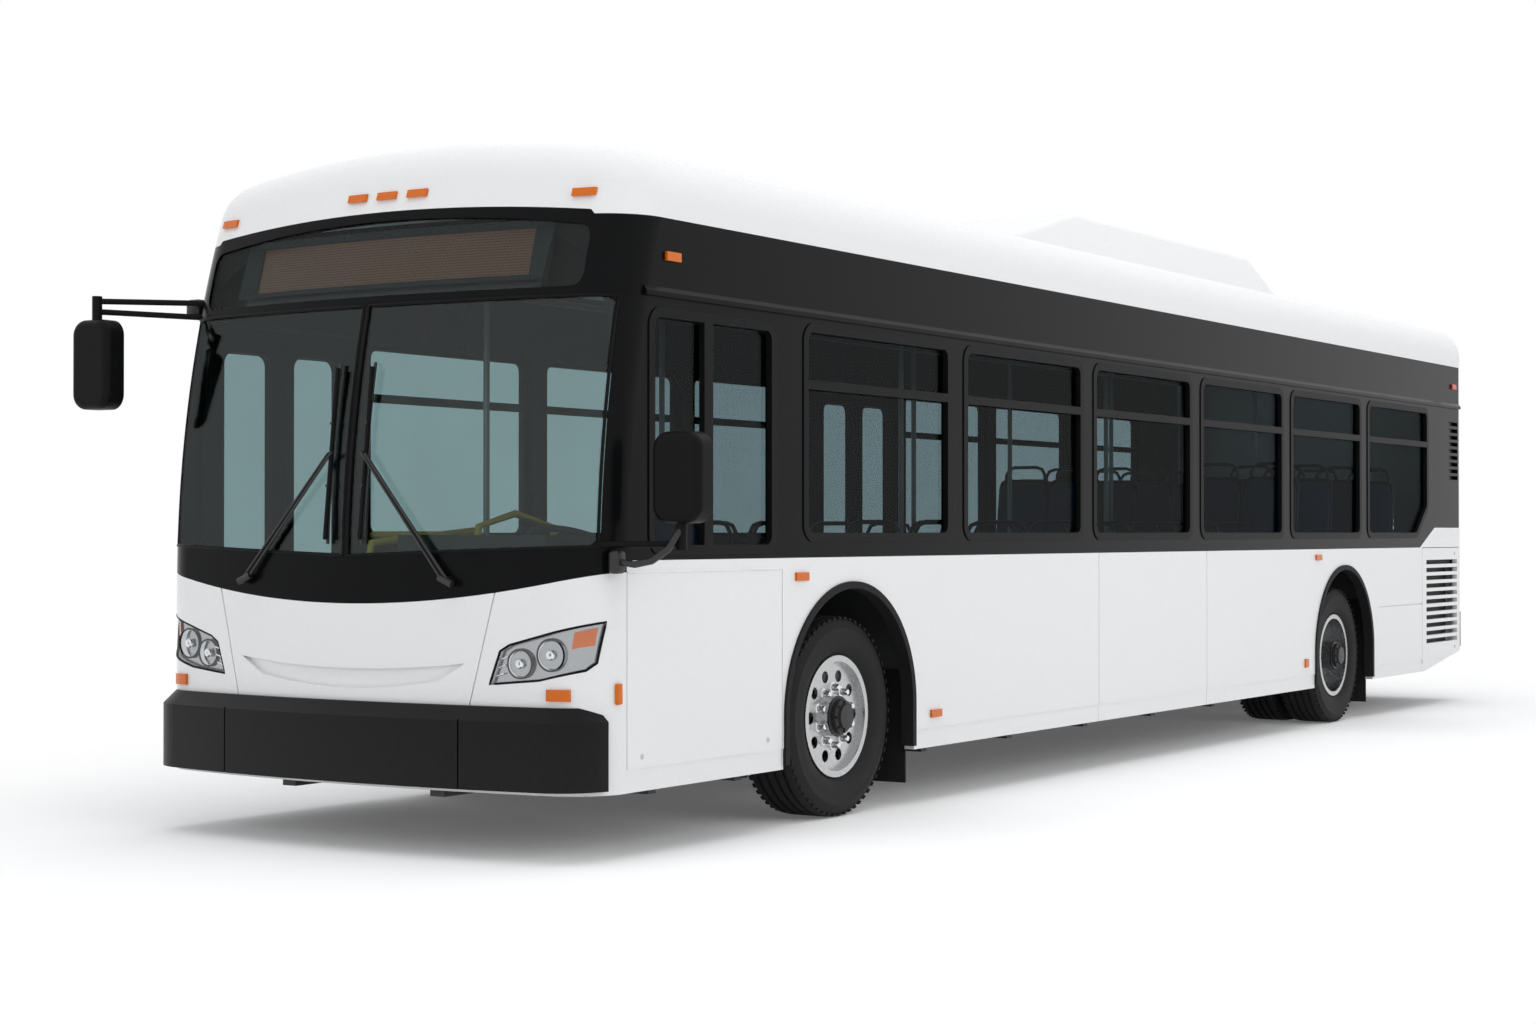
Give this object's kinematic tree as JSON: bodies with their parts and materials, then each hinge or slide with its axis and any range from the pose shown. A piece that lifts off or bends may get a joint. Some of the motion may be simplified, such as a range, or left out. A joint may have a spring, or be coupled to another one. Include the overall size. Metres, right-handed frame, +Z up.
{
  "type": "city bus",
  "caption": "Low-floor city bus with a black window band, folding side doors, roof unit, rear engine, steered front wheels and twin rear wheels.",
  "frame": {"origin": "on the ground, at the middle of the length and width", "axes": "+X forward along the bus, +Y to its left side, +Z up"},
  "size_m": [12.5998, 3.39, 3.4299],
  "materials": {
    "white_paint": "gloss",
    "black_panel": "gloss",
    "frame_black": "satin",
    "bumper_black": "satin",
    "screen_glass": "tinted",
    "side_glass": "tinted",
    "sign": "satin",
    "lamp_lens": "clear",
    "amber": "clear",
    "red": "clear",
    "rubber": "matt",
    "tyre": "matt",
    "wheel_alloy": "polished",
    "floor_grey": "matt",
    "frame_steel": "satin",
    "cast": "satin",
    "dash_plastic": "satin",
    "seat_blue": "woven",
    "rail_steel": "satin"
  },
  "bodies": {
    "body": {"front_mask": "black_panel", "front_glass": "screen_glass", "sign_display": "sign", "front_panel": "white_paint", "headlamps": "lamp_lens", "roof": "white_paint", "header_panels": "black_panel", "window_band_left": "black_panel", "window_band_right": "black_panel", "window_frames": "frame_black", "side_glass": "side_glass", "lower_side_left": "white_paint", "lower_side_right": "white_paint", "rear_wall": "white_paint", "front_bumper": "bumper_black", "rear_bumper": "bumper_black", "arch_lips": "rubber", "mud_flaps": "rubber", "floor": "floor_grey", "wheel_housings": "floor_grey", "underframe": "frame_steel", "rear_frame": "frame_steel", "engine": "cast", "front_axle": "cast", "air_springs": "rubber", "rear_axle": "cast", "roof_unit": "white_paint", "dashboard": "dash_plastic", "passenger_seats": "seat_blue", "driver_seat": "seat_blue", "grab_posts": "rail_steel", "mirrors": "frame_black", "wipers": "frame_black", "amber_lamps": "amber", "red_lamps": "red"},
    "knuckle_left": {"knuckle_left": "cast"},
    "knuckle_right": {"knuckle_right": "cast"},
    "wheel_front_left": {"front_rim_left": "wheel_alloy", "front_tyre_left": "tyre"},
    "wheel_front_right": {"front_rim_right": "wheel_alloy", "front_tyre_right": "tyre"},
    "wheels_rear_left": {"rear_rims_left": "wheel_alloy", "rear_tyres_left": "tyre"},
    "wheels_rear_right": {"rear_rims_right": "wheel_alloy", "rear_tyres_right": "tyre"},
    "steering_wheel": {"steering_wheel": "dash_plastic"},
    "front_door_fore": {"front_door_fore": "black_panel", "front_door_fore_glass": "side_glass"},
    "front_door_aft": {"front_door_aft": "black_panel", "front_door_aft_glass": "side_glass"},
    "rear_door_fore": {"rear_door_fore": "black_panel", "rear_door_fore_glass": "side_glass"},
    "rear_door_aft": {"rear_door_aft": "black_panel", "rear_door_aft_glass": "side_glass"},
    "access_door": {"access_door": "white_paint"},
    "radiator_door": {"radiator_door": "white_paint"},
    "engine_door": {"engine_door": "white_paint"}
  },
  "joints": [
    {"name": "steer_left", "type": "hinge", "parent": "body", "child": "knuckle_left", "pos_m": [3.96, 0.93, 0.499], "axis": [0, 0, 1], "range_deg": [-40, 40]},
    {"name": "steer_right", "type": "hinge", "parent": "body", "child": "knuckle_right", "pos_m": [3.96, -0.93, 0.499], "axis": [0, 0, 1], "range_deg": [-40, 40]},
    {"name": "spin_front_left", "type": "hinge", "parent": "knuckle_left", "child": "wheel_front_left", "pos_m": [3.96, 1.085, 0.499], "axis": [0, 1, 0], "continuous": true},
    {"name": "spin_front_right", "type": "hinge", "parent": "knuckle_right", "child": "wheel_front_right", "pos_m": [3.96, -1.085, 0.499], "axis": [0, 1, 0], "continuous": true},
    {"name": "spin_rear_left", "type": "hinge", "parent": "body", "child": "wheels_rear_left", "pos_m": [-3.24, 1.085, 0.499], "axis": [0, 1, 0], "continuous": true},
    {"name": "spin_rear_right", "type": "hinge", "parent": "body", "child": "wheels_rear_right", "pos_m": [-3.24, -1.085, 0.499], "axis": [0, 1, 0], "continuous": true},
    {"name": "steering_turn", "type": "hinge", "parent": "body", "child": "steering_wheel", "pos_m": [5.33, 0.63, 1.33], "axis": [-0.4226, 0, 0.9063], "range_deg": [-720, 720]},
    {"name": "front_door_fore_swing", "type": "hinge", "parent": "body", "child": "front_door_fore", "pos_m": [5.77614, -1.275, 1.38], "axis": [0, 0, 1], "range_deg": [0, 88]},
    {"name": "front_door_aft_swing", "type": "hinge", "parent": "body", "child": "front_door_aft", "pos_m": [4.80814, -1.275, 1.38], "axis": [0, 0, 1], "range_deg": [-88, 0]},
    {"name": "rear_door_fore_swing", "type": "hinge", "parent": "body", "child": "rear_door_fore", "pos_m": [0.092, -1.275, 1.38], "axis": [0, 0, 1], "range_deg": [0, 88]},
    {"name": "rear_door_aft_swing", "type": "hinge", "parent": "body", "child": "rear_door_aft", "pos_m": [-0.952, -1.275, 1.38], "axis": [0, 0, 1], "range_deg": [-88, 0]},
    {"name": "access_door_lift", "type": "hinge", "parent": "body", "child": "access_door", "pos_m": [5.23557, 1.295, 1.24], "axis": [1, 0, 0], "range_deg": [0, 80]},
    {"name": "radiator_door_swing", "type": "hinge", "parent": "body", "child": "radiator_door", "pos_m": [-5.09, 1.295, 0.8], "axis": [0, 0, -1], "range_deg": [0, 100]},
    {"name": "engine_door_lift", "type": "hinge", "parent": "body", "child": "engine_door", "pos_m": [-6.225, 0, 1.75], "axis": [0, 1, 0], "range_deg": [0, 75]}
  ],
  "couplings": [
    {"joint": "steer_right", "follows": "steer_left", "ratio": 1},
    {"joint": "steering_turn", "follows": "steer_left", "ratio": 18},
    {"joint": "front_door_aft_swing", "follows": "front_door_fore_swing", "ratio": -1},
    {"joint": "rear_door_aft_swing", "follows": "rear_door_fore_swing", "ratio": -1}
  ]
}
